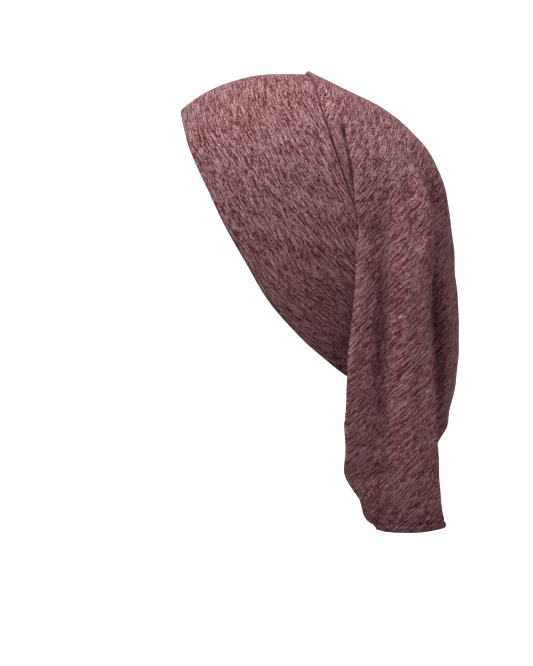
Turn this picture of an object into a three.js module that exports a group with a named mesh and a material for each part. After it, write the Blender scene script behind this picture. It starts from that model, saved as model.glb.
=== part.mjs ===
// A sleep snood in its worn form: a wide doubled band that goes over the crown and under the nape, and
// a loose bag for the hair, sewn to the band's rear edge.
// Millimetres, +Z up. The band's opening looks along -Y and the left side is +X. The origin is the
// inside of the crown, where the snood sits. The left half is worked out and mirrored in the plane X = 0.
import * as THREE from "three";

// Cloth and seams
const BAND_WALL = 2.0; // fine jersey, folded double at the front edge
const BAG_WALL = 1.2; // one layer of the same jersey
const SEAM_WIDTH = 2.6; // sewn allowance that lies between band and bag
const SEAM_HEIGHT = 2.6;
const SEAM_LIFT = 1.4; // how far the seam stands proud at the crown
const LIFT_REACH = 0.22; // share of the half loop over which that lip fades
const SEAT_RISE = 0.2; // the bag's outer face stands this far above the band's where they meet
const PIECE_GAP = 0.5; // clear space between neighbouring pieces
const HEM_THICKNESS = 3.2; // two layers sewn flat along the bottom of the bag
const LAYER_SPREAD = 16; // how fast the two layers part above the hem
const HEM_ALLOWANCE = 0.045; // share of the bag's length that is sewn solid at the hem
const SQUARE_EDGE = [0.25, 0.5]; // shares of the half loop between which the cut edge turns
const FOLD_TURN = { in: 9, back: 6 }; // where the cloth goes on behind the front fold
const LIP = { across: 1, out: 6, drop: 10 }; // how the bag leaves the seam below the front fold

// Round form that stretches the band
const HOLLOW_CENTRE = new THREE.Vector3(0, 12, -98);
const BAND_SWELL = { crown: 9.8, nape: 1.2, skew: 0.35 };

// Mesh density
const HALF_COLUMNS = 36; // from the centre back to the centre front, on one side
const FOLD_COLUMN = HALF_COLUMNS / 2; // the front fold, where back layer and front layer meet
const REAR_COLUMN = 7; // the rear fold of the side lobe
const BAND_ROWS = 7;
const BAG_ROWS = 26;
const SEAM_SIDES = 6;
const ARC_STEPS = 720; // how finely a loop's length is measured
const COLUMNS = Array.from({ length: HALF_COLUMNS + 1 }, (_, column) => column);

// The band's front edge, from the centre front over the side and down to the nape
const FRONT_EDGE = [
  { x: 0, y: -75.5, z: -24.5 },
  { x: 22, y: -74.5, z: -30 },
  { x: 38, y: -72, z: -41 },
  { x: 52, y: -67.5, z: -56 },
  { x: 64, y: -57.5, z: -78 },
  { x: 72, y: -44, z: -106.5 },
  { x: 75.5, y: -28, z: -134.5 },
  { x: 76, y: -11, z: -163 },
  { x: 71, y: 14.5, z: -191.5 },
  { x: 64, y: 30.5, z: -205.5 },
  { x: 53, y: 43, z: -215.5 },
  { x: 30, y: 55, z: -223 },
  { x: 0, y: 60, z: -226 },
];

// The seam between band and bag, from the crown down the side to the nape
const SEAM_LINE = [
  { x: 0, y: 15.6, z: 1.9 },
  { x: 22, y: 18.2, z: -2 },
  { x: 42, y: 22, z: -12.5 },
  { x: 63, y: 29, z: -37.5 },
  { x: 72.5, y: 38.5, z: -66 },
  { x: 75.5, y: 47, z: -91 },
  { x: 76, y: 52, z: -104 },
  { x: 73.5, y: 58, z: -128 },
  { x: 65, y: 62.5, z: -155 },
  { x: 48, y: 67.5, z: -180 },
  { x: 25, y: 72, z: -194 },
  { x: 0, y: 73.5, z: -199 },
];
const FOLD_SHARE = 0.63; // where the front fold leaves the seam, as a share of the half loop

// The bag in sections from the puffed lip beside the seam (first row) to the hem (last row).
// back: centre back. shoulder: how far the rear panel rounds out. tuck: depth of the dent behind the
// rear fold. rear: the side lobe's rear fold. face: middle of its outer face, with a valley of the given
// depth. front: the front fold. nape: centre front, below the band. flat: 1 where front and back layer
// lie together.
const SECTION_COLUMNS = [
  "backY", "backZ", "shoulder", "tuck", "rearX", "rearY", "rearZ", "faceX", "faceY", "valley",
  "frontX", "frontY", "frontZ", "napeY", "napeZ", "flat",
];
const SECTIONS = [
  [33, -4, 14, 0, 67, 39.5, -38.5, 81, 50, 0, 84, 51, -136, 79, -208, 0],
  [69, -22.5, 15, 1, 67, 63, -60, 84, 61, 2, 86, 49, -156, 79, -222, 0],
  [96.5, -45.5, 14, 4, 68, 86, -88, 87, 70, 5, 87, 46, -193, 78, -234, 0],
  [113.5, -78, 12, 9, 72, 99, -124, 88, 72, 7, 86, 44.5, -228, 78, -246, 0],
  [121.5, -130, 9, 13, 78, 102, -172, 88, 73, 7, 83, 43.5, -258, 78, -258, 0.05],
  [125.5, -188, 7, 14, 80, 105, -220, 86, 74, 6, 79, 44, -283, 80, -270, 0.2],
  [118.5, -244, 3, 13, 78, 108, -266, 82, 79.5, 5, 76, 51, -299, 84, -283, 0.45],
  [105.5, -288, 3, 9, 73, 110.5, -307, 78, 84.5, 4, 74, 58.5, -316, 89, -297, 0.8],
  [98, -312, 4, 4, 68, 113, -324.5, 73, 88, 2, 72, 64, -328, 94, -312, 1],
].map((row) => Object.fromEntries(row.map((value, i) => [SECTION_COLUMNS[i], value])));

const REAR_ARC = { shoulder: 0.42, tuck: 0.78 }; // shares of the arc from centre back to rear fold
const STATIONS = { back: 0, shoulder: 1, tuck: 2, rear: 3, valley: 5, front: 7, nape: 14 };
const TUCK_DIRECTION = new THREE.Vector3(-0.5, -0.86, 0);

const vector = ({ x, y, z }) => new THREE.Vector3(x, y, z);
const mirrored = (p) => new THREE.Vector3(-p.x, p.y, p.z);
const mix = (a, b, share) => new THREE.Vector3().lerpVectors(a, b, share);

// A closed smooth loop, symmetric in X, from its points on the left side
function loop(leftPoints) {
  const right = leftPoints.slice(1, -1).reverse().map(mirrored);
  const curve = new THREE.CatmullRomCurve3([...leftPoints, ...right], true, "centripetal");
  curve.arcLengthDivisions = ARC_STEPS;
  return curve;
}

const frontEdge = loop(FRONT_EDGE.map(vector));
const seamLine = loop(SEAM_LINE.map(vector));

// The seam's place and directions at a share of the half loop: along it, from band to bag, and outwards
function seamFrame(share) {
  const point = seamLine.getPointAt(share / 2);
  const along = seamLine.getTangentAt(share / 2);
  const across = point.clone().sub(frontEdge.getPointAt(share / 2));
  across.addScaledVector(along, -across.dot(along)).normalize();
  const outward = new THREE.Vector3().crossVectors(across, along).normalize();
  if (outward.dot(point.clone().sub(HOLLOW_CENTRE)) < 0) outward.negate();
  const lift = SEAM_LIFT * (1 - THREE.MathUtils.smoothstep(share, 0, LIFT_REACH));
  return { point, across, outward, lift };
}

// A point at a share of an arc from p to q whose middle stands out from the chord, away from a centre
function bulgedArc(share, p, q, push, centre) {
  const chord = q.clone().sub(p).normalize();
  const middle = mix(p, q, 0.5);
  const away = middle.clone().sub(centre);
  away.addScaledVector(chord, -away.dot(chord)).normalize();
  return mix(p, q, share).addScaledVector(away, 4 * share * (1 - share) * push);
}

// A column's place along the ring, in stations: the same spacing on the back and the front layer
function stationOf(column) {
  if (column > FOLD_COLUMN) return STATIONS.nape - stationOf(HALF_COLUMNS - column);
  if (column <= REAR_COLUMN) return (STATIONS.rear * column) / REAR_COLUMN;
  const pastRear = (column - REAR_COLUMN) / (FOLD_COLUMN - REAR_COLUMN);
  return THREE.MathUtils.lerp(STATIONS.rear, STATIONS.front, pastRear);
}

// A station's share of the seam's half loop
function seamShare(station) {
  const { front, nape } = STATIONS;
  if (station <= front) return (FOLD_SHARE * station) / front;
  return THREE.MathUtils.lerp(FOLD_SHARE, 1, (station - front) / (nape - front));
}

// The back layer of one section: centre back, shoulder, tuck, rear fold, outer face, front fold
function backLayer(s) {
  const back = new THREE.Vector3(0, s.backY, s.backZ);
  const rear = new THREE.Vector3(s.rearX, s.rearY, s.rearZ);
  const front = new THREE.Vector3(s.frontX, s.frontY, s.frontZ);
  const face = new THREE.Vector3(s.faceX, s.faceY, (s.rearZ + s.frontZ) / 2);
  const centre = new THREE.Vector3(0, (s.backY + s.napeY) / 2, (s.backZ + s.napeZ) / 2);
  const onFace = (a) => rear.clone().multiplyScalar((1 - a) * (1 - 2 * a))
    .addScaledVector(face, 4 * a * (1 - a)).addScaledVector(front, a * (2 * a - 1));
  const tuck = bulgedArc(REAR_ARC.tuck, back, rear, s.shoulder, centre);
  const valley = onFace(0.5);
  valley.x -= s.valley;
  return [
    back,
    bulgedArc(REAR_ARC.shoulder, back, rear, s.shoulder, centre),
    tuck.addScaledVector(TUCK_DIRECTION, s.tuck),
    rear,
    onFace(0.25),
    valley,
    onFace(0.75),
    front,
  ];
}

// The front layer turns in behind the front fold and passes below the band, or lies against the back
// layer where the section is flat
function frontLayer(s, back) {
  const start = new THREE.Vector3(s.frontX - FOLD_TURN.in, s.frontY + FOLD_TURN.back, s.frontZ);
  const steps = STATIONS.front - 1;
  return back.slice(0, -1).reverse().map((partner, i) => {
    const turn = (i / steps) * Math.PI / 2;
    const open = new THREE.Vector3(
      start.x * Math.cos(turn),
      THREE.MathUtils.lerp(start.y, s.napeY, Math.sin(turn)),
      THREE.MathUtils.lerp(start.z, s.napeZ, Math.sin(turn)),
    );
    const k = back.indexOf(partner);
    const ahead = k === 0 ? mirrored(back[1]) : back[k - 1];
    const along = back[k + 1].clone().sub(ahead);
    const inward = new THREE.Vector3(along.y, -along.x, 0).normalize();
    if (inward.y > 0 && k <= STATIONS.shoulder) inward.negate();
    if (inward.x > 0 && k >= STATIONS.rear) inward.negate();
    const apart = THREE.MathUtils.lerp(LAYER_SPREAD, HEM_THICKNESS, s.flat);
    const closed = partner.clone().addScaledVector(inward, apart);
    return open.lerp(closed, s.flat);
  });
}

// All stations of one section, from the centre back round the left lobe to the centre front
function sectionStations(section) {
  const back = backLayer(section);
  return [...back, ...frontLayer(section, back)];
}

// A point beside the seam: offset towards the bag, raised from the band's outer face
function besideSeam(share, offset, rise) {
  const { point, across, outward, lift } = seamFrame(share);
  return point.addScaledVector(across, offset).addScaledVector(outward, rise + lift);
}

// A ring of stations along the seam
function seamStations(offset, rise) {
  return Array.from({ length: STATIONS.nape + 1 }, (_, station) =>
    besideSeam(seamShare(station), offset, rise));
}

const seamEdge = SEAM_WIDTH / 2 + PIECE_GAP;
const bagRings = [seamStations(seamEdge, SEAT_RISE), ...SECTIONS.map(sectionStations)];
// Past the front fold the cloth stands off the seam and hangs from it
const hung = seamStations(seamEdge + LIP.across, LIP.out);
for (let k = STATIONS.front + 1; k <= STATIONS.nape; k++) {
  bagRings[1][k] = hung[k];
  bagRings[1][k].z -= LIP.drop;
}

const meridians = bagRings[0].map((_, k) =>
  new THREE.CatmullRomCurve3(bagRings.map((ring) => ring[k]), false, "centripetal"));

// The left half of the bag's outer surface at a share of the way down, one point for each column
function looseRow(down) {
  const ring = loop(meridians.map((meridian) => meridian.getPoint(down)));
  return COLUMNS.map((column) => ring.getPoint(stationOf(column) / (2 * STATIONS.nape)));
}

// The same, with the rows next to the seam drawn exactly onto it
const seated = COLUMNS.map((column) =>
  besideSeam(seamShare(stationOf(column)), seamEdge, SEAT_RISE));
const unseated = looseRow(0);
function bagRow(down) {
  const hold = Math.max(0, 1 - down * SECTIONS.length) ** 2;
  return looseRow(down).map((p, j) =>
    p.addScaledVector(seated[j], hold).addScaledVector(unseated[j], -hold));
}

// The band's outer surface
function bandRow(across) {
  return COLUMNS.map((column) => {
    const share = seamShare(stationOf(column));
    const front = frontEdge.getPointAt(share / 2);
    const frame = seamFrame(share);
    const rear = frame.point.clone().addScaledVector(frame.across, -seamEdge);
    const swell = BAND_SWELL.nape
      + (BAND_SWELL.crown - BAND_SWELL.nape) * Math.cos(share * Math.PI / 2) ** 2;
    const skew = 1 + BAND_SWELL.skew * (0.5 - across);
    return bulgedArc(across, front, rear, swell * skew, HOLLOW_CENTRE);
  });
}

// Left-side points of a ring with the mirrored right side
const wholeRing = (left) => [...left, ...left.slice(1, -1).reverse().map(mirrored)];

// Outward normals of a grid of rings, from the neighbouring points
function ringNormals(rings) {
  return rings.map((ring, i) => ring.map((_, j) => {
    const before = rings[Math.max(i - 1, 0)][j];
    const after = rings[Math.min(i + 1, rings.length - 1)][j];
    const previous = ring[(j + ring.length - 1) % ring.length];
    const next = ring[(j + 1) % ring.length];
    const down = after.clone().sub(before);
    return next.clone().sub(previous).cross(down).normalize();
  }));
}

// The same directions, each evened out with its neighbours' so that offsets keep clear of one another
function evened(normals) {
  return normals.map((ring, i) => ring.map((normal, j) => {
    const before = normals[Math.max(i - 1, 0)][j];
    const after = normals[Math.min(i + 1, normals.length - 1)][j];
    const previous = ring[(j + ring.length - 1) % ring.length];
    const next = ring[(j + 1) % ring.length];
    return normal.clone().multiplyScalar(2).add(before).add(after).add(previous).add(next).normalize();
  }));
}

// A closed body from a list of rings, each joined to the next; the last is joined to the first unless
// the ends are closed flat
function shellGeometry(rings, closeEnds) {
  const around = rings[0].length;
  const positions = rings.flat().flatMap((p) => p.toArray());
  const faces = [];
  const quad = (a, b, c, d) => faces.push(a, b, c, a, c, d);
  const joins = closeEnds ? rings.length - 1 : rings.length;
  for (let i = 0; i < joins; i++) {
    const here = i * around;
    const there = ((i + 1) % rings.length) * around;
    for (let j = 0; j < around; j++) {
      const next = (j + 1) % around;
      quad(here + j, here + next, there + next, there + j);
    }
  }
  if (closeEnds) {
    const last = (rings.length - 1) * around;
    closeFlat(quad, faces, last, around, false);
    closeFlat(quad, faces, 0, around, true);
  }
  const geometry = new THREE.BufferGeometry();
  geometry.setAttribute("position", new THREE.Float32BufferAttribute(positions, 3));
  geometry.setIndex(faces);
  geometry.computeVertexNormals();
  return geometry;
}

// Closes a ring across its two layers: each point of the back layer meets its partner on the front
function closeFlat(quad, faces, start, around, flipped) {
  const at = (column, side) => start + (side > 0 ? column : (around - column) % around);
  for (const side of [1, -1]) {
    for (let column = 0; column < FOLD_COLUMN; column++) {
      const corners = [
        at(column, side),
        at(column + 1, side),
        at(HALF_COLUMNS - column - 1, side),
        at(HALF_COLUMNS - column, side),
      ];
      if ((side > 0) === flipped) corners.reverse();
      const [a, b, c, d] = corners;
      if (b === c) faces.push(a, b, d);
      else quad(a, b, c, d);
    }
  }
}

const jersey = (name, colour) => new THREE.MeshStandardMaterial({
  name, color: colour, roughness: 0.95, metalness: 0, side: THREE.FrontSide,
});

const snood = new THREE.Group();
snood.name = "sleep_snood";

function addPiece(name, geometry, material) {
  const mesh = new THREE.Mesh(geometry, material);
  mesh.name = name;
  snood.add(mesh);
}

// Front band: the outer face from the front edge to the seam, then the inner face back again
function frontBand() {
  const outer = [];
  for (let i = 0; i <= BAND_ROWS; i++) outer.push(wholeRing(bandRow(i / BAND_ROWS)));
  const normals = ringNormals(outer);
  const inner = outer.map((ring, i) => ring.map((p, j) =>
    p.clone().addScaledVector(normals[i][j], -BAND_WALL)));
  const lip = outer[0].map((p, j) => {
    const forward = p.clone().sub(outer[1][j]).normalize();
    return mix(p, inner[0][j], 0.5).addScaledVector(forward, BAND_WALL / 2);
  });
  return shellGeometry([lip, ...outer, ...inner.reverse()], false);
}

// Hair bag: outer surface from seam to hem, inner surface from just above the hem back to the seam
function hairBag() {
  const outer = [];
  for (let i = 0; i <= BAG_ROWS; i++) outer.push(wholeRing(bagRow(i / BAG_ROWS)));
  const normals = ringNormals(outer);
  // At the crown the cut edge stands square to the seam, lower down it turns with the cloth
  const square = wholeRing(COLUMNS.map((column) => {
    const share = seamShare(stationOf(column));
    const weight = 1 - THREE.MathUtils.smoothstep(share, ...SQUARE_EDGE);
    return seamFrame(share).outward.multiplyScalar(weight);
  }));
  normals[0].forEach((normal, j) => {
    normal.multiplyScalar(1 - square[j].length()).add(square[j]).normalize();
  });
  const inwards = [normals[0], ...evened(evened(normals)).slice(1)];
  const inner = outer.map((ring, i) => ring.map((p, j) =>
    p.clone().addScaledVector(inwards[i][j], -BAG_WALL)));
  const solidRows = Math.ceil(HEM_ALLOWANCE * BAG_ROWS);
  const lining = inner.slice(0, inner.length - solidRows);
  return shellGeometry([...lining.reverse(), ...outer], true);
}

// Joining seam: the sewn allowance as a rounded bead round the whole join
function joiningSeam() {
  const corners = Array.from({ length: SEAM_SIDES }, (_, i) => (-2 * Math.PI * i) / SEAM_SIDES);
  const rings = corners.map((angle) => wholeRing(COLUMNS.map((column) => besideSeam(
    seamShare(stationOf(column)),
    (SEAM_WIDTH / 2) * Math.cos(angle),
    (SEAM_HEIGHT / 2) * Math.sin(angle) - BAND_WALL / 2,
  ))));
  return shellGeometry(rings, false);
}

addPiece("front_band", frontBand(), jersey("band jersey", 0x7d5560));
addPiece("bag", hairBag(), jersey("bag jersey", 0x7d5560));
addPiece("joining_seam", joiningSeam(), jersey("seam allowance", 0x74505b));

export default snood;
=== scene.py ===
"""A sleep snood in its worn form: a wide doubled jersey band and a loose bag for the hair.

Metres in the scene, millimetres in the tables. The band's opening looks along -Y, the left side is
+X, and the origin is the inside of the crown.
"""

import bpy
import numpy as np
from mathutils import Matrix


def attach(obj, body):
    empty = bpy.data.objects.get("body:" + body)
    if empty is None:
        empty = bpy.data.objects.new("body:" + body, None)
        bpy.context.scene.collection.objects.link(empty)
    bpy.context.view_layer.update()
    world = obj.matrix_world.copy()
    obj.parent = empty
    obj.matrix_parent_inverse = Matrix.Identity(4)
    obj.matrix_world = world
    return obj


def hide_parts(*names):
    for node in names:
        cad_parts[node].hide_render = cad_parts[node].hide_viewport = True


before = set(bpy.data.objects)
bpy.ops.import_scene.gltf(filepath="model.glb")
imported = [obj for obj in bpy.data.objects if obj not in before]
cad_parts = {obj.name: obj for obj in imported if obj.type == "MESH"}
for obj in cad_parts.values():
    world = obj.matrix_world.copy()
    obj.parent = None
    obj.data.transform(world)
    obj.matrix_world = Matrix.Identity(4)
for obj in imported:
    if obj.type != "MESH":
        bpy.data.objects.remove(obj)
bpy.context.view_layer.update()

MM = 0.001

# Cloth and seams, in millimetres
PLY = 0.92  # one layer of the band's doubled jersey
BAND_WALL = 2.0
BAG_WALL = 1.2
MERGED = 0.02  # points closer than this become one
SEAM_EDGE = 1.8  # from the seam line to each cloth's edge
SEAM_OPENING = {"at the crown": 0.02, "at the side": 0.35}  # half the gap between the two cloths
SEAM_OPENS = (0.2, 0.42)  # the shares of the seam, from the crown, over which it opens
SEAT_RISE = 0.2  # how far the bag's cloth stands above the band's at the seam
SEAM_LIFT = 1.4  # how much further it does so at the crown, and the share over which that ends
LIFT_REACH = 0.22
ROLL_DEPTH = 2.0  # how far both cloths' edges turn down into the seam
# The stitched edges inside the seam: their size, how deep they lie, how far they come up at the crown
# and the shares of the seam over which they do
ALLOWANCE = {"half_width": 0.85, "half_height": 1.1, "below": 3.5, "raised": 2.0, "raises": (0.05, 0.01)}
HEM_THICKNESS = 3.2
# The hem's stitching, pulled in at a distance from the edge, and the ridge between it and the edge
HEM_STITCHING = {
    "from_edge": 4.0, "width": 0.9, "depth": 0.6, "ridge_at": 1.8, "ridge_width": 1.2, "ridge": 0.3,
}

# The bag's inner layer: how far it stands off the outer one, how it turns in at the front fold, and how
# it hangs from the seam underneath
LAYER_SPREAD = 16
FOLD_TURN_IN = 9
FOLD_TURN_BACK = 6
HANG = {"across": 1.0, "out": 6.0, "drop": 10.0}

# The band stands out from the chord between its edges
HOLLOW_CENTRE = np.array([0.0, 12.0, -98.0])
SWELL_CROWN = 9.8
SWELL_BELOW = 1.2
SWELL_SKEW = 0.35

# The band's front edge from above to below, and the seam from the crown to below
FRONT_EDGE = [
    (0, -75.5, -24.5), (22, -74.5, -30), (38, -72, -41), (52, -67.5, -56), (64, -57.5, -78),
    (72, -44, -106.5), (75.5, -28, -134.5), (76, -11, -163), (71, 14.5, -191.5),
    (64, 30.5, -205.5), (53, 43, -215.5), (30, 55, -223), (0, 60, -226),
]
SEAM_LINE = [
    (0, 15.6, 1.9), (22, 18.2, -2), (42, 22, -12.5), (63, 29, -37.5), (72.5, 38.5, -66),
    (75.5, 47, -91), (76, 52, -104), (73.5, 58, -128), (65, 62.5, -155), (48, 67.5, -180),
    (25, 72, -194), (0, 73.5, -199),
]
FOLD_SHARE = 0.63  # the share of the seam, from the crown, over the bag's outer layer

# The bag in sections from the seam (first row) to the hem (last row)
SECTION_COLUMNS = (
    "back_y", "back_z", "shoulder", "tuck", "rear_x", "rear_y", "rear_z", "flank_x", "flank_y",
    "valley", "front_x", "front_y", "front_z", "under_y", "under_z", "flat",
)
SECTIONS = [
    (33, -5, 14, 0, 67, 40, -38.5, 81, 50, 0, 84, 51, -136, 79, -208, 0),
    (67.5, -23.5, 14, 2, 68, 75, -60, 84, 63, 2, 86, 49, -156, 79, -222, 0),
    (96, -47, 13, 8, 71, 100.5, -88, 87, 73, 5, 87, 46, -193, 78, -234, 0),
    (115.5, -78, 12, 13, 74, 106, -124, 88, 74, 7, 86, 44.5, -228, 78, -246, 0),
    (123, -130, 9, 13, 78, 102, -172, 88, 73, 7, 83, 43.5, -258, 78, -258, 0.05),
    (125.5, -188, 7, 14, 80, 105, -220, 86, 74, 6, 79, 44, -283, 80, -270, 0.2),
    (118.5, -244, 3, 13, 78, 108, -266, 82, 79.5, 5, 76, 51, -299, 84, -283, 0.45),
    (105.5, -288, 3, 9, 73, 110.5, -307, 78, 84.5, 4, 74, 58.5, -316, 89, -297, 0.8),
    (98, -312, 4, 4, 68, 113, -324.5, 73, 88, 2, 72, 64, -328, 94, -312, 1),
]
REAR_ARC_SHOULDER = 0.42
REAR_ARC_TUCK = 0.78
TUCK_DIRECTION = np.array([-0.5, -0.86, 0.0])
# Stations of a section, from 0 at the centre back: rear fold, front fold, and the middle of the inner
# layer. The outer layer ends between two stations at the front fold
REAR, FRONT, UNDER = 3, 7, 14
OUTER_END = (7.4, 6.9)

# A fold has a path, how deep it is pressed in, its widths in front and behind, how far the cloth behind
# it stands out and for what reach, how far that cloth leans forward over it, and the shares of the path
# over which it starts and ends
PLAIN_FOLD = {"press": 0, "widths": (1, 1), "rise": 0, "reach": 1, "lean": 0, "fades": (0.3, 0.3)}
LIP = "lip where the bag folds over its seam"
# Folds of the left side, seen from the left: paths of (y, z)
LEFT_FOLDS = {
    LIP: dict(
        path=[(40.4, -36), (42.8, -42.5), (45.2, -51.5), (47.6, -62.3), (49.4, -75.8),
              (50.9, -89.3), (51.6, -100.6), (51.8, -109.1)],
        press=10, widths=(2.4, 1.2), rise=0.8, reach=5, lean=3.8, fades=(0.24, 0.2)),
    "fullness behind the lip": dict(
        path=[(45, -44), (49, -56), (52, -72), (54, -89), (55.5, -106), (56.5, -125)],
        press=-2.6, widths=(3.4, 12), fades=(0.3, 0.75)),
    "tuck across the top of that lip": dict(
        path=[(31.7, -36.4), (35.3, -38.5), (38.9, -40.1), (42.4, -39.9)],
        press=0.7, widths=(0.9, 0.9)),
    "hollow above the tuck": dict(
        path=[(27, -16.4), (33, -24.9), (38.6, -33.4), (43, -41.5)],
        press=0.7, widths=(3, 3), fades=(0.5, 0.2)),
    "slanting crease of the shoulder": dict(
        path=[(83.7, -67), (86.5, -84.7), (89.3, -100.4), (93.6, -114.6), (98.6, -126)],
        press=4.2, widths=(3.2, 3.4), fades=(0.3, 0.2)),
    "nick at its foot": dict(
        path=[(90, -122.1), (94.3, -124.5), (98.9, -127.4)], press=2.2, widths=(0.9, 0.9)),
    "long valley down the lobe": dict(
        path=[(76.1, -64.1), (73.2, -92.4), (71.8, -127.7), (71.1, -163.1), (71.1, -198.4),
              (71.8, -233.8), (72.5, -269.1), (73.9, -311.6)],
        press=5.5, widths=(10, 7.5), fades=(0.25, 0.45)),
    "swell behind the valley": dict(
        path=[(87.3, -120), (88.7, -163.1), (90.1, -198.4), (90.8, -240)], press=-2.2, widths=(7, 6)),
    "swell along the front fold": dict(
        path=[(54, -92), (53.3, -134.9), (51.9, -177.2), (49.8, -212.5), (48.3, -252)],
        press=-1.4, widths=(4, 5)),
    "hollow behind the shoulder": dict(
        path=[(96, -61.6), (102.6, -75.8), (106.2, -93.5), (108.1, -111.2), (106.6, -127.6),
              (103.2, -143), (102, -160)],
        press=4.2, widths=(2.2, 5), fades=(0.4, 0.65)),
    "rear edge of the lobe": dict(
        path=[(97.9, -115), (100.1, -136.2), (101.8, -163.1), (103.6, -191.3), (105.4, -223.2),
              (107.1, -255), (108.2, -279.7), (109.6, -300)],
        rise=-10, reach=10, fades=(0.36, 0.15)),
}
# The same for the right side, whose folds fall a little otherwise
RIGHT_FOLDS = {
    LIP: dict(
        path=[(36, -30), (40.5, -42), (44.6, -56), (47.6, -71), (49.9, -87), (51.6, -103)],
        press=4.4, widths=(2.2, 1.0), rise=2.8, reach=14, lean=2.0, fades=(0.35, 0.3)),
    "slanting crease of the shoulder": dict(
        path=[(79, -58), (83, -80), (88, -99), (95, -119), (99, -140)], press=2.6, widths=(4.5, 4)),
    "long valley down the lobe": dict(
        path=[(70, -78), (68, -112), (68.5, -150), (71, -190), (75, -232), (78, -268), (80, -308)],
        press=3.4, widths=(8, 8), fades=(0.25, 0.3)),
    "swell behind the valley": dict(
        path=[(86, -140), (88, -180), (92, -225), (95, -262)], press=-1.6, widths=(7, 7)),
    "hollow behind the shoulder": dict(
        path=[(98, -64), (104, -82), (107.5, -102), (107.5, -124), (104.5, -148)],
        press=3.2, widths=(2.8, 6), fades=(0.4, 0.6)),
    "rear edge of the lobe": dict(
        path=[(99, -126), (101, -150), (103, -184), (105.4, -223), (107.3, -258), (109, -296)],
        rise=-6, reach=10, fades=(0.5, 0.2)),
}
# Folds of the back, seen from behind: paths of (x, z)
BACK_FOLDS = {
    "drape left of the middle": dict(
        path=[(9, -52), (14, -92), (22, -140), (27, -190), (26, -240), (20, -285)],
        press=1.2, widths=(7, 9)),
    "drape right of the middle": dict(
        path=[(-22, -70), (-28, -110), (-30, -160), (-24, -214), (-16, -270)],
        press=1.4, widths=(9, 7)),
    "short drape in the middle": dict(
        path=[(-4, -150), (-5, -190), (-2, -230), (3, -268)],
        press=-1.2, widths=(7, 7), fades=(0.35, 0.35)),
}
LOOP_POINTS = 721  # points by which a loop is measured, and a fold's path is followed
PATH_POINTS = 90
PATH_MARGIN = 30  # a fold moves nothing that is further than this outside its path's bounds
RISE_EDGE = 1.2  # how soon behind a fold its cloth stands out
LEAN_EDGE = 0.9  # how soon it leans over the fold, and how far back it does so
LEAN_REACH = 4.5
# The strip before the lip lies within this of the seam, and starts this far from the middle
STRIP_WIDTH = 20
STRIP_START = 20
# Low waves in the loose cloth, with their lengths and height
WAVER = {"waves": 16, "shortest": 24, "longest": 75, "height": 0.15, "seed": 5}

# Courses of the bag: they run down and forwards round it. How fast one leaves them going back, down and
# outwards, over what breadth the middle is round, how that eases above a height, how the two sides
# differ, and how fast one goes along them going outwards and forwards or up
COURSES = {
    "back": 0.72, "down": 0.72, "out": 0.34, "round": 20, "easing": 0.0035, "above": -120,
    "askew": 0.06, "along_out": 0.8, "along_forward": 0.7,
}
# The band's courses slant as if it were drawn in to this share of its width
DRAWN_IN = 0.6

# The yarn, per metre: a fine jersey has 30 courses to the centimetre, and its stitches look 1 mm long
# where brushing joins them. Its tone turns some 58 times, with finer turns in between
COURSES_PER_METRE = 3000.0
STITCHES_PER_METRE = 1000.0
YARN_TURNS_PER_METRE = 58.0
YARN_START_SPREAD = 900.0
# The yarn's shades by its tone, from dark to pale
YARN_SHADES = {0.4: "#541721", 0.5: "#82494e", 0.6: "#c49da2"}

# The studio, in metres: camera, floor and backdrop, and lamps with their place, what they point at,
# their size, spread in degrees and power in watts
CAMERA_PLACE = (3.0, -0.0134, -0.1864)
SENSOR_WIDTH = 36
FOCAL_LENGTH = 279
FLOOR = -0.85
FLOOR_SIZE = 14
FLOOR_MIDDLE = 1.5
BACKDROP_HEIGHT = 6
BACKDROP_BEND = 1.2
SURROUND = {"seen": 1.0, "given": 0.08}
FLOOR_LIGHT = {"strength": 4.0, "degrees": 60}
LAMPS = [
    ("overhead softbox", (0.5, -0.3, 1.3), (0, 0.02, -0.12), 0.85, 110, 10.0),
    ("left softbox", (2.2, -1.1, -0.5), (0, 0.02, -0.27), 1.1, 110, 5.6),
    ("right softbox", (-2.2, -1.1, 0.2), (0, 0.02, -0.22), 1.2, 110, 5.0),
    ("rear edge lamp", (0.1, 1.8, -0.1), (0, 0.1, -0.25), 0.6, 90, 1.6),
    ("backdrop lamp", (-3.0, 0, 1.9), (-5.4, 0, -0.4), 2.0, 150, 130),
]

# How fine the cloth is: columns between stations on one side, the band's rows, the bag's rows between
# its sections, and the rows of the rolled edges
COLUMN_SPANS = [(0, 3, 34), (3, 7, 62), (7, 11, 26), (11, 14, 16)]
BAND_ROWS = 56
BAG_ROWS = [28, 20, 15, 15, 15, 15, 15, 15, 15]
ROLL_ROWS = 5
FRONT_FOLD_ROWS = 8
HEM_ROWS = 4
ALLOWANCE_SIDES = 12

STATIONS = np.concatenate(
    [np.linspace(a, b, n, endpoint=False) for a, b, n in COLUMN_SPANS] + [[UNDER]])


def colour(code):
    """An sRGB hex colour as linear RGBA."""
    channels = [int(code[k:k + 2], 16) / 255 for k in (1, 3, 5)]
    linear = [c / 12.92 if c <= 0.04045 else ((c + 0.055) / 1.055) ** 2.4 for c in channels]
    return (*linear, 1.0)


def smooth(value, none, full):
    """0 up to one value, 1 from the other on, and smooth between; either may be the higher."""
    share = np.clip((value - none) / (full - none), 0, 1)
    return share * share * (3 - 2 * share)


def close_to(value, middle, reach):
    """1 at the middle, and almost 0 at twice the reach from it."""
    return np.exp(-((value - middle) / reach) ** 2)


def unit(vectors):
    return vectors / np.maximum(np.linalg.norm(vectors, axis=-1, keepdims=True), 1e-9)


def mirrored(points):
    return points * np.array([-1.0, 1.0, 1.0])


# Curves and sections


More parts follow.
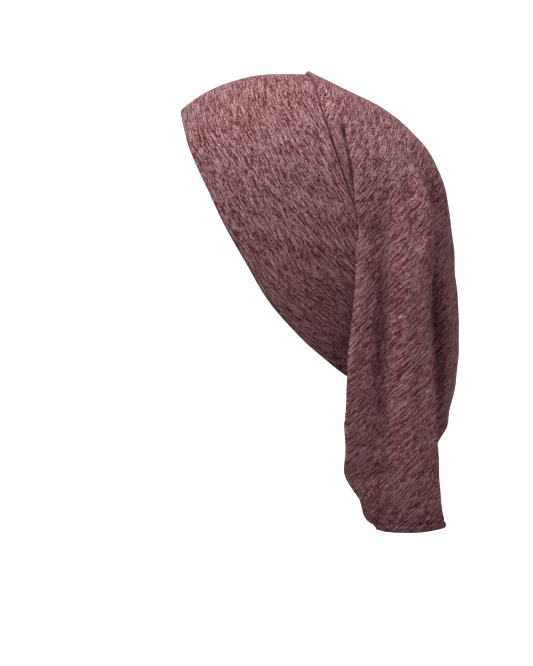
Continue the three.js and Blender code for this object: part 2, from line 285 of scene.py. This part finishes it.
def spline(points, at, closed=False):
    """Points at shares 0 to 1 of a centripetal curve through points, an array (n, ..., 3)."""
    count = len(points)
    spans = count if closed else count - 1
    place = np.clip(at, 0, 1) * spans
    first = np.minimum(place.astype(int), spans - 1)
    t = (place - first).reshape((-1,) + (1,) * (points.ndim - 1))
    if closed:
        p0, p1, p2, p3 = (points[(first + k) % count] for k in (-1, 0, 1, 2))
    else:
        ends = np.concatenate([[2 * points[0] - points[1]], points, [2 * points[-1] - points[-2]]])
        p0, p1, p2, p3 = (ends[first + k] for k in range(4))
    d0, d1, d2 = (
        np.maximum(np.linalg.norm(b - a, axis=-1, keepdims=True) ** 0.5, 1e-6)
        for a, b in ((p0, p1), (p1, p2), (p2, p3))
    )
    start = ((p1 - p0) / d0 - (p2 - p0) / (d0 + d1) + (p2 - p1) / d1) * d1
    end = ((p2 - p1) / d1 - (p3 - p1) / (d1 + d2) + (p3 - p2) / d2) * d1
    square = -3 * p1 + 3 * p2 - 2 * start - end
    cube = 2 * p1 - 2 * p2 + start + end
    return p1 + start * t + square * t**2 + cube * t**3


def closed_loop(left):
    """A closed symmetric loop's points from those on its left side."""
    left = np.array(left, float)
    return np.concatenate([left, mirrored(left[1:-1][::-1])])


def along_loop(points, share):
    """Places and directions at even shares of a closed loop's length."""
    steps = np.linspace(0, 1, LOOP_POINTS)
    drawn = spline(points, steps, closed=True)
    walked = np.concatenate([[0], np.cumsum(np.linalg.norm(np.diff(drawn, axis=0), axis=1))])
    at = np.interp(share, walked / walked[-1], steps)
    step = 1e-4
    ahead = spline(points, (at + step) % 1, closed=True)
    behind = spline(points, (at - step) % 1, closed=True)
    return spline(points, at, closed=True), unit(ahead - behind)


FRONT_LOOP = closed_loop(FRONT_EDGE)
SEAM_LOOP = closed_loop(SEAM_LINE)


def seam_frame(share):
    """The seam's points, its directions from band to bag and outwards, and how far it stands proud."""
    point, along = along_loop(SEAM_LOOP, share / 2)
    across = point - along_loop(FRONT_LOOP, share / 2)[0]
    across = unit(across - along * np.sum(across * along, axis=1, keepdims=True))
    outward = unit(np.cross(across, along))
    inward_ones = np.sum(outward * (point - HOLLOW_CENTRE), axis=1) < 0
    outward[inward_ones] *= -1
    lift = SEAM_LIFT * smooth(share, LIFT_REACH, 0)
    return point, across, outward, lift[:, None]


def beside_seam(share, offset, rise, lifted=True):
    """Points beside the seam: offset towards the bag and raised from the band's outside."""
    point, across, outward, lift = seam_frame(share)
    return point + across * np.c_[offset] + outward * (np.c_[rise] + lift * lifted)


def seam_roll(share, side):
    """Rows where a cloth's edge rolls down into the seam, bottom first; side is 1 for the bag."""
    crown, flank = SEAM_OPENING.values()
    opening = crown + (flank - crown) * smooth(share, *SEAM_OPENS)
    rows = []
    for turn in np.linspace(np.pi / 2, 0, ROLL_ROWS, endpoint=False):
        offset = SEAM_EDGE - (SEAM_EDGE - opening) * np.sin(turn)
        rise = SEAT_RISE * (side > 0) - ROLL_DEPTH * (1 - np.cos(turn))
        rows.append(beside_seam(share, side * offset, rise, lifted=side > 0))
    return np.array(rows)


def bulged_arc(share, p, q, push, centre):
    """A point of an arc from p to q whose middle stands out from the chord."""
    chord = unit(q - p)
    away = (p + q) / 2 - centre
    away = unit(away - chord * np.sum(away * chord, axis=-1, keepdims=True))
    return p + (q - p) * share + away * 4 * share * (1 - share) * push


def seam_share(station):
    """The share of the seam, from the crown, at which a station of the bag starts."""
    before = FOLD_SHARE * station / FRONT
    after = FOLD_SHARE + (1 - FOLD_SHARE) * (station - FRONT) / (UNDER - FRONT)
    return np.where(station <= FRONT, before, after)


def section_stations(row):
    """The stations of one section, from the centre back round the left lobe and back underneath."""
    s = dict(zip(SECTION_COLUMNS, map(float, row)))
    back = np.array([0, s["back_y"], s["back_z"]])
    rear = np.array([s["rear_x"], s["rear_y"], s["rear_z"]])
    front = np.array([s["front_x"], s["front_y"], s["front_z"]])
    flank = np.array([s["flank_x"], s["flank_y"], (s["rear_z"] + s["front_z"]) / 2])
    centre = np.array([0, (s["back_y"] + s["under_y"]) / 2, (s["back_z"] + s["under_z"]) / 2])

    def on_flank(a):
        return rear * (1 - a) * (1 - 2 * a) + flank * 4 * a * (1 - a) + front * a * (2 * a - 1)

    shoulder = bulged_arc(REAR_ARC_SHOULDER, back, rear, s["shoulder"], centre)
    tuck = bulged_arc(REAR_ARC_TUCK, back, rear, s["shoulder"], centre) + TUCK_DIRECTION * s["tuck"]
    valley = on_flank(0.5) - np.array([s["valley"], 0, 0])
    layer = [back, shoulder, tuck, rear, on_flank(0.25), valley, on_flank(0.75), front]
    start = np.array([s["front_x"] - FOLD_TURN_IN, s["front_y"] + FOLD_TURN_BACK, s["front_z"]])
    apart = LAYER_SPREAD + (HEM_THICKNESS - LAYER_SPREAD) * s["flat"]
    inner_layer = []
    for i, k in enumerate(range(FRONT - 1, -1, -1)):
        turn = i / (FRONT - 1) * np.pi / 2
        open_place = np.array([
            start[0] * np.cos(turn),
            start[1] + (s["under_y"] - start[1]) * np.sin(turn),
            start[2] + (s["under_z"] - start[2]) * np.sin(turn),
        ])
        ahead = mirrored(layer[1]) if k == 0 else layer[k - 1]
        along = layer[k + 1] - ahead
        inward = unit(np.array([along[1], -along[0], 0]))
        if (inward[1] > 0 and k <= 1) or (inward[0] > 0 and k >= REAR):
            inward = -inward
        closed = layer[k] + inward * apart
        inner_layer.append(open_place + (closed - open_place) * s["flat"])
    return layer + inner_layer


ALL_STATIONS = np.arange(UNDER + 1)
RINGS = np.array([
    beside_seam(seam_share(ALL_STATIONS), SEAM_EDGE, SEAT_RISE),
    *(section_stations(row) for row in SECTIONS),
])
HUNG = beside_seam(seam_share(ALL_STATIONS), SEAM_EDGE + HANG["across"], HANG["out"])
RINGS[1, FRONT + 1:] = HUNG[FRONT + 1:] - np.array([0, 0, HANG["drop"]])


def loose_rows(down, stations):
    """The bag's outside on the left, before its first rows are drawn onto the seam."""
    across = spline(RINGS, down)
    loops = np.concatenate([across, mirrored(across[:, UNDER - 1:0:-1])], axis=1)
    return spline(loops.swapaxes(0, 1), stations / (2 * UNDER), closed=True).swapaxes(0, 1)


def bag_rows(down, stations):
    """The bag's outside on the left: rows from the seam to the hem, and columns."""
    seated = beside_seam(seam_share(stations), SEAM_EDGE, SEAT_RISE)
    unseated = loose_rows(np.zeros(1), stations)[0]
    hold = np.maximum(0, 1 - down * len(SECTIONS)) ** 2
    return loose_rows(down, stations) + hold[:, None, None] * (seated - unseated)


def band_rows(across, stations):
    """The band's outside on the left: rows from the front edge to the seam, and columns."""
    share = seam_share(stations)
    front = along_loop(FRONT_LOOP, share / 2)[0]
    point, towards_bag, _, _ = seam_frame(share)
    rear = point - towards_bag * SEAM_EDGE
    swell = SWELL_BELOW + (SWELL_CROWN - SWELL_BELOW) * np.cos(share * np.pi / 2) ** 2
    across = across[:, None, None]
    push = swell[None, :, None] * (1 + SWELL_SKEW * (0.5 - across))
    return bulged_arc(across, front[None], rear[None], push, HOLLOW_CENTRE)


def whole(left, right=None):
    """Rows of the left side with the mirrored right side, from underneath round and back to it."""
    right = mirrored((left if right is None else right)[:, 1:-1][:, ::-1])
    ring = np.concatenate([left, right], axis=1)
    ring = np.roll(ring, -(left.shape[1] - 1), axis=1)
    return np.concatenate([ring, ring[:, :1]], axis=1)


def whole_value(left, right=None):
    """The same for one number a point."""
    right = left if right is None else right
    return whole(*(np.repeat(side[..., None], 3, axis=2) for side in (left, right)))[..., 1]


def outward_normals(grid):
    """Outward normals of a closed band of cloth, rows by columns."""
    down = np.gradient(grid, axis=0)
    wrapped = np.concatenate([grid[:, -2:-1], grid, grid[:, 1:2]], axis=1)
    around = wrapped[:, 2:] - wrapped[:, :-2]
    return unit(np.cross(around, down))


def laid_flat(grid):
    """The same grid laid out flat: the way round and the way down, in millimetres."""
    steps = np.linalg.norm(np.diff(grid, axis=1), axis=2)
    around = np.concatenate([np.zeros((len(grid), 1)), np.cumsum(steps, axis=1)], axis=1)
    around -= around[:, -1:] / 2
    drops = np.linalg.norm(np.diff(grid, axis=0), axis=2)
    drops = 0.5 * drops + 0.5 * drops.mean(axis=1, keepdims=True)
    down = np.concatenate([np.zeros((1, grid.shape[1])), np.cumsum(drops, axis=0)])
    return np.stack([around, down], axis=2)


def bag_courses(grid):
    """The bag laid out along its courses: the way along them and the way across, in millimetres."""
    x, y, z = np.moveaxis(grid, 2, 0)
    out = np.sqrt(x**2 + COURSES["round"] ** 2)
    across = COURSES["back"] * y - COURSES["down"] * z - COURSES["out"] * out
    across += COURSES["easing"] / 2 * np.maximum(z - COURSES["above"], 0) ** 2 + COURSES["askew"] * x
    # The way along each course starts where it crosses the centre back
    back = grid.shape[1] // 2
    start_y, start_z = (np.interp(across, across[:, back], way[:, back]) for way in (y, z))
    along = COURSES["along_out"] * np.abs(x)
    along += COURSES["along_forward"] * (start_y - y + start_z - z)
    return np.stack([np.sign(x) * along, across], axis=2)


def beside_path(points, path):
    """For each point seen flat, its nearest share of a path and its distance behind it."""
    path = np.array(path, float)
    t = np.linspace(0, 1, PATH_POINTS)
    line = spline(np.c_[path, np.zeros(len(path))], t)[:, :2]
    gaps = points[:, None] - line
    nearest = np.argmin((gaps**2).sum(axis=2), axis=1)
    along = unit(np.gradient(line, axis=0))[nearest]
    gap = gaps[np.arange(len(gaps)), nearest]
    return t[nearest], gap[:, 1] * along[:, 0] - gap[:, 0] * along[:, 1]


def pressed(seen, folds):
    """How far folds press points seen as (across, up) inwards, and how far they lean them forward."""
    flat = seen.reshape(-1, 2)
    depth, lean = np.zeros(len(flat)), np.zeros(len(flat))
    for fold in folds.values():
        fold = {**PLAIN_FOLD, **fold}
        low, high = np.min(fold["path"], axis=0), np.max(fold["path"], axis=0)
        near = np.all((flat > low - PATH_MARGIN) & (flat < high + PATH_MARGIN), axis=1)
        t, d = beside_path(flat[near], fold["path"])
        start, end = fold["fades"]
        shown = smooth(t, 0, start) * smooth(t, 1, 1 - end)
        groove = close_to(d, 0, np.where(d < 0, *fold["widths"]))
        step = (1 - close_to(d, 0, RISE_EDGE)) * close_to(d, 0, fold["reach"]) * (d > 0)
        over = (1 - close_to(d, 0, LEAN_EDGE)) * close_to(d, 0, LEAN_REACH) * (d > 0)
        depth[near] += shown * (fold["press"] * groove - fold["rise"] * step)
        lean[near] += shown * fold["lean"] * over
    return depth.reshape(seen.shape[:-1]), lean.reshape(seen.shape[:-1])


def before_lip(half, lengths, folds):
    """1 on the strip between the seam and the lip where the bag folds over it, 0 elsewhere."""
    seen = half[..., 1:].reshape(-1, 2)
    near = ((np.abs(half[..., 0]) > STRIP_START) & (lengths < STRIP_WIDTH)).ravel()
    strip = np.zeros(len(seen))
    t, d = beside_path(seen[near], folds[LIP]["path"])
    strip[near] = (d < 0) & (t > 0) & (t < 1)
    return strip.reshape(lengths.shape)


def side_folded(half, down, folds):
    """The left half of the bag with the folds of one side."""
    depth, lean = pressed(half[..., 1:], folds)
    # They leave the middle, the seam, the hem and the inner layer as they are
    held = smooth(half[..., 0], 3, 16) * smooth(STATIONS, *OUTER_END)
    held = held * smooth(down * len(SECTIONS), 0, 0.2)[:, None] * smooth(-half[..., 2], 320, 305)
    half = half.copy()
    half[..., 0] -= depth * held
    half[..., 1] -= lean * held
    return half


def back_folded(grid, outer):
    """The bag with the folds of its back."""
    depth, _ = pressed(grid[..., [0, 2]], BACK_FOLDS)
    # They show on the outer layer, and only where it faces back
    held = outer * smooth(grid[..., 1] - 0.4 * np.abs(grid[..., 0]), 30, 50)
    grid = grid.copy()
    grid[..., 1] -= depth * held
    return grid


def wavering(grid):
    """Low uneven waves of soft cloth."""
    draw = np.random.default_rng(WAVER["seed"])
    total = np.zeros(grid.shape[:2])
    for _ in range(WAVER["waves"]):
        towards = unit(draw.normal(size=3))
        length = draw.uniform(WAVER["shortest"], WAVER["longest"])
        total += np.sin(grid @ towards * 2 * np.pi / length + draw.uniform(0, 2 * np.pi))
    return total * WAVER["height"]


def hung(grid):
    """The bag as it hangs: its lower corners rounded, and its two sides apart in places."""
    grid = grid.copy()
    x, y, z = np.moveaxis(grid, 2, 0).copy()
    left = smooth(x, 30, 55)
    right = smooth(-x, 30, 55)
    # The front edges, further down their ends, and a bend in the left one
    front_edge = smooth(-z, 150, 215) * smooth(y, 72, 48)
    front_end = smooth(-z, 284, 302) * smooth(y, 92, 62)
    bend = 2.6 * close_to(z, -304, 8) - 2.2 * close_to(z, -287, 9)
    grid[..., 1] += (left * -1.5 + right * 2.2) * front_edge
    grid[..., 1] += (left * -2.6 + right * -1.2) * front_end
    grid[..., 1] += left * bend * smooth(y, 84, 62)
    # The hem's corners round off, and it sags between them
    front_corner = close_to(y, 63, 7) * close_to(z, -329, 7)
    rear_corner = close_to(y, 114, 8) * close_to(z, -325, 8)
    sag = 1.0 * close_to(y, 70, 10) - 0.9 * close_to(y, 95, 12)
    grid[..., 1] += 3 * front_corner + 0.8 * rear_corner
    grid[..., 2] += 3 * front_corner + 1.2 * rear_corner + sag * smooth(-z, 296, 322)
    # The back panel draws in above the hem
    low_back = smooth(-z, 252, 270) * smooth(-z, 308, 285)
    grid[..., 1] -= 5 * low_back * smooth(y, 92, 104) * smooth(np.abs(x), 66, 50)
    return grid


# Making pieces


def cloth_piece(name, grid, flat, wall):
    """A sheet of cloth from a grid of points, joined where its last column meets the first."""
    bpy.ops.object.select_all(action="DESELECT")
    rows, columns = grid.shape[:2]
    bpy.ops.mesh.primitive_grid_add(x_subdivisions=columns - 1, y_subdivisions=rows - 1, size=1)
    piece = bpy.context.object
    piece.name = piece.data.name = name
    mesh = piece.data
    mesh.vertices.foreach_set("co", (grid * MM).ravel())
    layer = mesh.uv_layers[0]
    layer.name = "cloth"
    corners = np.empty(len(mesh.loops), int)
    mesh.loops.foreach_get("vertex_index", corners)
    layer.data.foreach_set("uv", (flat.reshape(-1, 2)[corners] * MM).ravel())
    bpy.ops.object.mode_set(mode="EDIT")
    bpy.ops.mesh.select_all(action="SELECT")
    bpy.ops.mesh.remove_doubles(threshold=MERGED * MM)
    bpy.ops.object.mode_set(mode="OBJECT")
    bpy.ops.object.shade_smooth()
    shell = piece.modifiers.new("wall", "SOLIDIFY")
    shell.thickness = wall * MM
    shell.offset = -1
    bpy.ops.object.modifier_apply(modifier=shell.name)
    return piece


# Materials


def add_node(tree, kind, settings=(), **links):
    """A shader node with its settings, and its inputs set or linked by name."""
    node = tree.nodes.new("ShaderNode" + kind)
    for key, value in dict(settings).items():
        setattr(node, key, value)
    for key, value in links.items():
        socket = node.inputs[int(key[1:])] if key[0] == "_" else node.inputs[key.replace("_", " ")]
        if isinstance(value, bpy.types.NodeSocket):
            tree.links.new(value, socket)
        else:
            socket.default_value = value
    return node


def heather_jersey(name):
    """Jersey knitted from mixed yarns and brushed: matt, with short pale and dark streaks."""
    material = bpy.data.materials.new(name)
    material.use_nodes = True
    tree = material.node_tree
    tree.nodes.clear()
    cloth = add_node(tree, "UVMap", {"uv_map": "cloth"}).outputs[0]
    # Courses wander by half a millimetre over a few centimetres
    drift = add_node(
        tree, "TexNoise", {"noise_dimensions": "2D"}, Vector=cloth, Scale=25.0, Detail=1.0)
    bend = add_node(
        tree, "VectorMath", {"operation": "MULTIPLY_ADD"},
        _0=drift.outputs["Color"], _1=(0.0, 0.0006, 0.0), _2=cloth).outputs[0]
    place = add_node(tree, "SeparateXYZ", Vector=bend)
    # Each course, 0.33 mm high, is its own yarn, pale and dark by turns in long and short stretches
    height = add_node(
        tree, "Math", {"operation": "MULTIPLY"}, _0=place.outputs["Y"], _1=COURSES_PER_METRE).outputs[0]
    course = add_node(tree, "Math", {"operation": "FLOOR"}, _0=height).outputs[0]
    start = add_node(tree, "TexWhiteNoise", {"noise_dimensions": "1D"}, W=course).outputs["Value"]
    shift = add_node(tree, "Math", {"operation": "MULTIPLY"}, _0=start, _1=YARN_START_SPREAD).outputs[0]
    length = add_node(
        tree, "Math", {"operation": "MULTIPLY_ADD"},
        _0=place.outputs["X"], _1=YARN_TURNS_PER_METRE, _2=shift).outputs[0]
    yarn = add_node(
        tree, "TexNoise", {"noise_dimensions": "1D"},
        W=length, Scale=1.0, Detail=4.0, Roughness=0.75).outputs["Fac"]
    # Single stitches catch the light one by one
    cells = add_node(
        tree, "VectorMath", {"operation": "MULTIPLY"},
        _0=bend, _1=(STITCHES_PER_METRE, COURSES_PER_METRE, 1.0)).outputs[0]
    stitches = add_node(tree, "VectorMath", {"operation": "FLOOR"}, _0=cells).outputs[0]
    grain = add_node(
        tree, "TexWhiteNoise", {"noise_dimensions": "2D"}, Vector=stitches).outputs["Value"]
    shade = add_node(tree, "Mix", {"data_type": "FLOAT"}, Factor=0.16, A=yarn, B=grain).outputs[0]
    ramp = add_node(tree, "ValToRGB", Fac=shade)
    stops = ramp.color_ramp.elements
    for tone, code in YARN_SHADES.items():
        stop = stops.new(tone)
        stop.color = colour(code)
    stops.remove(stops[0])
    stops.remove(stops[-1])
    # The yarn of each course is round, a fifth of a millimetre high
    across = add_node(tree, "Math", {"operation": "PINGPONG"}, _0=height, _1=0.5).outputs[0]
    relief = add_node(
        tree, "Math", {"operation": "MULTIPLY_ADD"}, _0=shade, _1=1.2, _2=across).outputs[0]
    raised = add_node(tree, "Bump", Strength=0.3, Distance=0.0002, Height=relief).outputs[0]
    # Brushed fibres give no gloss, and a faint pale bloom at the edges
    shader = add_node(
        tree, "BsdfPrincipled", Base_Color=ramp.outputs[0], Normal=raised, Roughness=0.9)
    shader.inputs["Sheen Weight"].default_value = 0.12
    shader.inputs["Sheen Roughness"].default_value = 0.5
    shader.inputs["Sheen Tint"].default_value = colour("#d8c4c8")
    shader.inputs["Specular IOR Level"].default_value = 0.15
    output = add_node(tree, "OutputMaterial")
    tree.links.new(shader.outputs[0], output.inputs[0])
    return material


def plain(name, code):
    """One colour, matt all over."""
    material = bpy.data.materials.new(name)
    material.use_nodes = True
    shader = material.node_tree.nodes["Principled BSDF"]
    shader.inputs["Base Color"].default_value = colour(code)
    shader.inputs["Roughness"].default_value = 0.9
    return material


# Camera, floor and light


def make_camera():
    """A level camera three metres off the left side."""
    bpy.ops.object.camera_add(location=CAMERA_PLACE, rotation=(np.pi / 2, 0, np.pi / 2))
    camera = bpy.context.object
    camera.data.sensor_fit = "HORIZONTAL"
    camera.data.sensor_width = SENSOR_WIDTH
    camera.data.lens = FOCAL_LENGTH
    bpy.context.scene.camera = camera


def make_floor():
    """A pale floor that sweeps up into a pale backdrop."""
    bpy.ops.object.select_all(action="DESELECT")
    bpy.ops.mesh.primitive_plane_add(size=FLOOR_SIZE, location=(FLOOR_MIDDLE, 0, FLOOR))
    floor = bpy.context.object
    floor.name = "floor_sweep"
    bpy.ops.object.mode_set(mode="EDIT")
    bpy.ops.mesh.select_all(action="DESELECT")
    bpy.ops.mesh.select_mode(type="EDGE")
    bpy.ops.object.mode_set(mode="OBJECT")
    for edge in floor.data.edges:
        edge.select = all(floor.data.vertices[k].co.x < 0 for k in edge.vertices)
    bpy.ops.object.mode_set(mode="EDIT")
    bpy.ops.mesh.extrude_region_move(TRANSFORM_OT_translate={"value": (0, 0, BACKDROP_HEIGHT)})
    bpy.ops.object.mode_set(mode="OBJECT")
    for edge in floor.data.edges:
        ends = [floor.data.vertices[k].co for k in edge.vertices]
        edge.select = all(end.x < 0 and end.z < 1 for end in ends)
    bpy.ops.object.mode_set(mode="EDIT")
    bpy.ops.mesh.bevel(offset=BACKDROP_BEND, segments=20, affect="EDGES")
    bpy.ops.object.mode_set(mode="OBJECT")
    bpy.ops.object.shade_smooth()
    # Matt pale paint, a light ground on which the dark cloth and its outline stand out
    floor.data.materials.append(plain("pale floor paint", "#dedcda"))
    return floor


def make_surround():
    """A surround that is white to look at and gives only a little light."""
    world = bpy.data.worlds.new("pale surround")
    bpy.context.scene.world = world
    world.use_nodes = True
    seen = add_node(world.node_tree, "LightPath").outputs["Is Camera Ray"]
    strength = add_node(
        world.node_tree, "Math", {"operation": "MULTIPLY_ADD"},
        _0=seen, _1=SURROUND["seen"] - SURROUND["given"], _2=SURROUND["given"])
    surround = world.node_tree.nodes["Background"]
    surround.inputs["Color"].default_value = colour("#ffffff")
    world.node_tree.links.new(strength.outputs[0], surround.inputs["Strength"])


def light_floor(floor):
    """The floor is lit evenly by a lamp of its own and throws no light back on the cloth."""
    floor.visible_diffuse = False
    bpy.ops.object.light_add(type="SUN", location=(0, 0, 3))
    lamp = bpy.context.object
    lamp.name = "floor light"
    lamp.data.energy = FLOOR_LIGHT["strength"]
    lamp.data.angle = np.radians(FLOOR_LIGHT["degrees"])
    lamp.light_linking.receiver_collection = bpy.data.collections.new("lit by the floor light")
    lamp.light_linking.receiver_collection.objects.link(floor)


def add_lamps():
    """Soft square lamps, each turned to what it points at."""
    for name, place, aim, size, spread, power in LAMPS:
        bpy.ops.object.light_add(type="AREA", location=place)
        lamp = bpy.context.object
        lamp.name = name
        lamp.data.size = size
        lamp.data.energy = power
        lamp.data.spread = np.radians(spread)
        ray = np.array(aim) - np.array(place)
        tilt = np.arccos(-ray[2] / np.linalg.norm(ray))
        lamp.rotation_euler = (tilt, 0, np.arctan2(ray[1], ray[0]) - np.pi / 2)


# The pieces


def make_band():
    """Doubled jersey: the outer layer from the seam to the front fold, and the lining back again."""
    outer = whole(band_rows(np.linspace(0, 1, BAND_ROWS + 1), STATIONS))
    normals = outward_normals(outer)
    loose = np.sin(np.linspace(0, np.pi, len(outer)))[:, None]
    outer = outer + normals * (0.5 * wavering(outer) * loose)[..., None]
    roll = whole(seam_roll(seam_share(STATIONS), -1))
    forward = unit(outer[0] - outer[1])
    middle = outer[0] - normals[0] * BAND_WALL / 2
    fold = [
        middle + BAND_WALL / 2 * (normals[0] * np.cos(angle) + forward * np.sin(angle))
        for angle in np.linspace(0, np.pi, FRONT_FOLD_ROWS + 1)[1:-1]
    ]
    # The lining is out of sight and has every second row
    lining = (outer - normals * BAND_WALL)[::2]
    grid = np.concatenate([roll, outer[::-1], fold, lining])[::-1]
    return cloth_piece("front_band_cloth", grid, laid_flat(grid * np.array([DRAWN_IN, 1, 1])), PLY)


def make_bag():
    """The loose bag, from the seam down to its flat bottom seam."""
    spans = [np.linspace(k, k + 1, n, endpoint=False) for k, n in enumerate(BAG_ROWS)]
    down = np.concatenate([*spans, [len(BAG_ROWS)]]) / len(BAG_ROWS)
    half = bag_rows(down, STATIONS)
    plain_grid = whole(half)
    grid = whole(*(side_folded(half, down, folds) for folds in (LEFT_FOLDS, RIGHT_FOLDS)))
    outer = smooth(whole_value(np.broadcast_to(STATIONS, half.shape[:2])), *OUTER_END)
    grid = back_folded(grid, outer)
    normals = outward_normals(grid)
    # The strip before the lip is laid out plainly, and the rest along its courses, which the lip in
    # front carries with it, seen from the side
    plain_flat = laid_flat(plain_grid)
    lengths = plain_flat[..., 1]
    left_lengths = lengths[:, len(STATIONS) - 1:]
    strip = whole_value(*(before_lip(half, left_lengths, folds) for folds in (LEFT_FOLDS, RIGHT_FOLDS)))
    settled = grid.copy()
    settled[..., 0] += (plain_grid[..., 0] - grid[..., 0]) * smooth(grid[..., 1], 80, 66)
    flat = np.where(strip[..., None] > 0.5, plain_flat, bag_courses(settled))
    # Waves in the loose cloth, and the hem's stitching pulled in beside a ridge
    from_hem = lengths[-1] - lengths
    loose = smooth(lengths, 0, 12) * smooth(-grid[..., 2], 316, 292)
    hem = HEM_STITCHING
    stitched = hem["ridge"] * close_to(from_hem, hem["ridge_at"], hem["ridge_width"])
    stitched -= hem["depth"] * close_to(from_hem, hem["from_edge"], hem["width"])
    grid = grid + normals * (wavering(grid) * loose + stitched)[..., None]
    # The bottom edge rounds over to the middle between its two layers
    last = grid[-1]
    partner = whole(bag_rows(np.ones(1), UNDER - STATIONS))[0]
    middle = (plain_grid[-1] + partner) / 2
    rounds, rounds_flat = [], []
    for angle in np.linspace(0, np.pi / 2, HEM_ROWS + 1)[1:]:
        edge = middle + (last - middle) * np.cos(angle)
        rounds.append(edge - np.array([0, 0, HEM_THICKNESS / 2]) * np.sin(angle))
        rounds_flat.append(flat[-1] + np.array([0, HEM_THICKNESS / 2 * angle]))
    roll = whole(seam_roll(seam_share(STATIONS), 1))
    grid = hung(np.concatenate([roll, grid, rounds]))
    roll_flat = flat[:1] + np.linspace((0, -3), (0, 0), ROLL_ROWS, endpoint=False)[:, None]
    return cloth_piece("bag_cloth", grid, np.concatenate([roll_flat, flat, rounds_flat]), BAG_WALL)


def make_seam():
    """The sewn allowance of the joining seam: a slim rounded cord of stitched cloth edges."""
    bpy.ops.object.select_all(action="DESELECT")
    share = seam_share(STATIONS)
    height = ALLOWANCE["raised"] * smooth(share, *ALLOWANCE["raises"]) - ALLOWANCE["below"]
    bpy.ops.mesh.primitive_torus_add(
        major_segments=2 * len(STATIONS) - 2, minor_segments=ALLOWANCE_SIDES)
    piece = bpy.context.object
    piece.name = piece.data.name = "seam_allowance"
    rings = []
    for angle in np.linspace(0, 2 * np.pi, ALLOWANCE_SIDES, endpoint=False):
        offset = ALLOWANCE["half_width"] * np.cos(angle)
        rise = ALLOWANCE["half_height"] * np.sin(angle) + height
        rings.append(whole(beside_seam(share, offset, rise)[None])[0, :-1])
    piece.data.vertices.foreach_set("co", (np.stack(rings, axis=1) * MM).ravel())
    bpy.ops.object.mode_set(mode="EDIT")
    bpy.ops.mesh.select_all(action="SELECT")
    bpy.ops.mesh.normals_make_consistent(inside=False)
    bpy.ops.object.mode_set(mode="OBJECT")
    bpy.ops.object.shade_smooth()
    return piece


bpy.context.scene.view_settings.view_transform = "Standard"
make_camera()
light_floor(make_floor())
make_surround()
add_lamps()

band_jersey = heather_jersey("heather jersey of the band")
bag_jersey = heather_jersey("heather jersey of the bag")
# Polyester sewing thread over cut jersey edges: a dark matt line in the depth of the seam, partly the
# thread's own colour and partly painted shade of the seam's ditch, darker than the thread
overlocked_edge_painted_shade = plain("overlocked jersey edge darkened as painted seam shade", "#4a1c26")

band, bag, seam = make_band(), make_bag(), make_seam()
for piece, material, node, slot in (
    (band, band_jersey, "front_band", "band_jersey"),
    (bag, bag_jersey, "bag", "bag_jersey"),
    (seam, overlocked_edge_painted_shade, "joining_seam", "seam_allowance"),
):
    piece.data.materials.append(material)
    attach(piece, "root")
    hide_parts(node)
